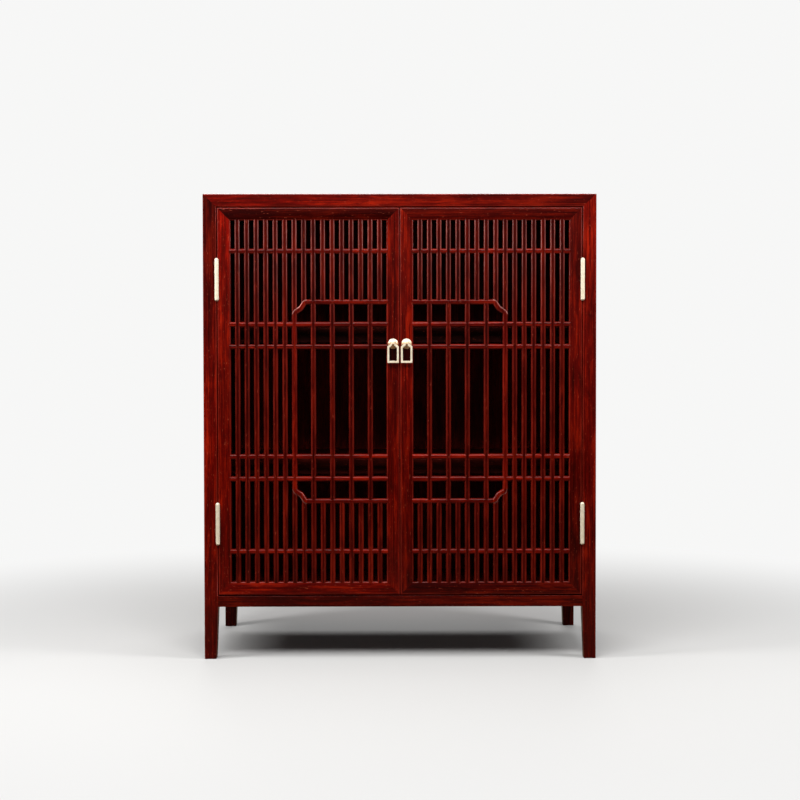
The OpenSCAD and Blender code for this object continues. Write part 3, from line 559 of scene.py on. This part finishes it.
def cut_at_tones(bm, name):
    """Adds rings of corners across a member, so its tone and painted shade can change along it."""
    low, high = box_of(bm.verts)
    axis = longest(high - low)
    steps = len(TONES_AND_PAINTED_LIGHT.get(name, ())) - 1
    for step in range(1, steps):
        place, across = Vector((0, 0, 0)), Vector((0, 0, 0))
        place[axis] = between(low[axis], high[axis], step / steps)
        across[axis] = 1
        bmesh.ops.bisect_plane(
            bm, geom=[*bm.verts, *bm.edges, *bm.faces], dist=MERGE,
            plane_co=place, plane_no=across,
        )


def tone_at(tones, share):
    """The tone at a share of a member's length, from tones at even steps along it."""
    if len(tones) == 1:
        return tones[0]
    spot = share * (len(tones) - 1)
    step = min(int(spot), len(tones) - 2)
    return between(tones[step], tones[step + 1], spot - step)


def tone_shift_and_painted_light(name, place, centre):
    """How much lighter than its member a spot is, with painted light on the inside of the back."""
    if name.startswith("back_") and place.y < centre.y:
        return BACK_INSIDE_LIGHT
    return between(LOW_BAR_TONE, HIGH_BAR_TONE, place.z) if slender(name) else 1


def islands(bm):
    """The separate solids of a mesh, as lists of vertices, in a fixed order."""
    left = set(bm.verts)
    found = []
    for start in bm.verts:
        if start not in left:
            continue
        left.discard(start)
        island, front = [start], [start]
        while front:
            for edge in front.pop().link_edges:
                for vertex in edge.verts:
                    if vertex in left:
                        left.remove(vertex)
                        island.append(vertex)
                        front.append(vertex)
        found.append(island)
    return found


def lay_grain(bm, name):
    """Gives every solid its own grain: X along its length, from its own part of the tree."""
    grain = bm.verts.layers.float_vector.new("grain")
    tone = bm.verts.layers.float.new("tone")
    chance = random.Random(name)
    for island in islands(bm):
        box = box_of(island)
        size, centre = box[1] - box[0], middle_of(box)
        along = longest(size)
        order = (along, (along + 1) % 3, (along + 2) % 3)
        offset = Vector(chance.uniform(-GRAIN_SPREAD, GRAIN_SPREAD) for _ in range(3))
        plain = (chance.uniform(*PLAIN_TONE),)
        tones = TONES_AND_PAINTED_LIGHT.get(name) or TONES_AND_PAINTED_LIGHT.get(sideless(name)) or plain
        for vertex in island:
            place = vertex.co - centre
            share = place[along] / size[along] + 0.5
            vertex[grain] = Vector(place[i] for i in order) + offset
            vertex[tone] = tone_at(tones, share) * tone_shift_and_painted_light(name, vertex.co, centre)


def dress_members(names):
    """Eases and finishes every wooden node. Solids are compared within their own body."""
    meshes = {name: cleaned(name) for name in names}
    solids = {name: (box_of(bm.verts), BVHTree.FromBMesh(bm)) for name, bm in meshes.items()}
    for name, bm in meshes.items():
        box = solids[name][0]
        trees = [
            tree for other, (other_box, tree) in solids.items()
            if other != name and BODY_OF[other] == BODY_OF[name] and near(box, other_box)
        ]
        eased = ease_edges(bm, trees, *(SLENDER_EASE if slender(name) else MEMBER_EASE))
        paint_edge_highlights(bm, name, eased)
        cut_at_tones(bm, name)
        lay_grain(bm, name)
        stand_in(name, finish_mesh(bm, name, finish_of(name)))


def dress_hardware(names):
    """Smooths every metal node and gives it its finish. The rings are eased too."""
    for name in names:
        bm = cleaned(name)
        if name.endswith("ring"):
            ease_edges(bm, [], *PULL_RING_EASE)
        stand_in(name, finish_mesh(bm, name, bright_brass if "boss" in name else satin_brass))


# Studio


def by_ray(tree, kind, chosen, other):
    """One colour for a kind of ray, and another for the rest."""
    return Wire(tree, None).node("ShaderNodeLightPath", kind).tint(other, chosen)


def make_floor():
    """A pale floor that takes the shadows and fades into the backdrop further off."""
    material, tree, shader, start = new_material("studio_floor")
    fade = start.place().vector_maths("LENGTH", "Value").ramp(FADE_START, FADE_END)
    colour = by_ray(tree, "Is Camera Ray", FLOOR_SEEN, FLOOR_BOUNCE)
    feed(tree, shader, Base_Color=colour, Roughness=0.8)
    seen = start.node("ShaderNodeLightPath", "Is Camera Ray")
    lit = Wire(tree, shader.outputs["BSDF"])
    glow = start.node("ShaderNodeEmission", Color=BACKDROP, Strength=1.0)
    blend = start.node("ShaderNodeMixShader", in0=fade * seen, in1=lit, in2=glow)
    out = next(node for node in tree.nodes if node.type == "OUTPUT_MATERIAL")
    tree.links.new(blend.socket, out.inputs["Surface"])
    mesh = bpy.data.meshes.new("floor")
    bm = bmesh.new()
    bmesh.ops.create_grid(bm, x_segments=1, y_segments=1, size=FLOOR_HALF)
    bm.to_mesh(mesh)
    bm.free()
    mesh.materials.append(material)
    floor = bpy.data.objects.new("floor", mesh)
    bpy.context.scene.collection.objects.link(floor)


def make_world():
    """A pale backdrop for the camera, and dim air that lights and reflects."""
    world = bpy.data.worlds.new("studio")
    bpy.context.scene.world = world
    world.use_nodes = True
    tree = world.node_tree
    ground = next(node for node in tree.nodes if node.type == "BACKGROUND")
    air = by_ray(tree, "Is Glossy Ray", GLOSS_AIR, AIR)
    tree.links.new(by_ray(tree, "Is Camera Ray", BACKDROP, air).socket, ground.inputs["Color"])
    ground.inputs["Strength"].default_value = 1


def make_lamps():
    """Soft rectangular lamps, each turned to a point."""
    for name, width, height, watts, place, aim in LAMPS:
        data = bpy.data.lights.new(name, "AREA")
        data.shape = "RECTANGLE"
        data.size, data.size_y, data.energy = width, height, watts
        lamp = bpy.data.objects.new(name, data)
        lamp.location = place
        lamp.rotation_euler = (Vector(aim) - Vector(place)).to_track_quat("-Z", "Y").to_euler()
        bpy.context.scene.collection.objects.link(lamp)


def make_camera():
    """The camera in front of the doors."""
    data = bpy.data.cameras.new("camera")
    data.lens = CAMERA_LENS
    data.sensor_width = CAMERA_SENSOR
    data.clip_start, data.clip_end = CAMERA_CLIP
    camera = bpy.data.objects.new("camera", data)
    camera.location = CAMERA_PLACE
    camera.rotation_euler = (
        math.radians(90 - CAMERA_PITCH), math.radians(CAMERA_ROLL), math.radians(CAMERA_YAW)
    )
    bpy.context.scene.collection.objects.link(camera)
    bpy.context.scene.camera = camera


dress_members([name for name in frame["nodes"] if SLOT_OF[name] in WOOD_SLOTS])
dress_hardware([name for name in frame["nodes"] if SLOT_OF[name] == METAL_SLOT])

make_floor()
make_world()
make_lamps()
make_camera()

scene = bpy.context.scene
scene.view_settings.view_transform = "Standard"
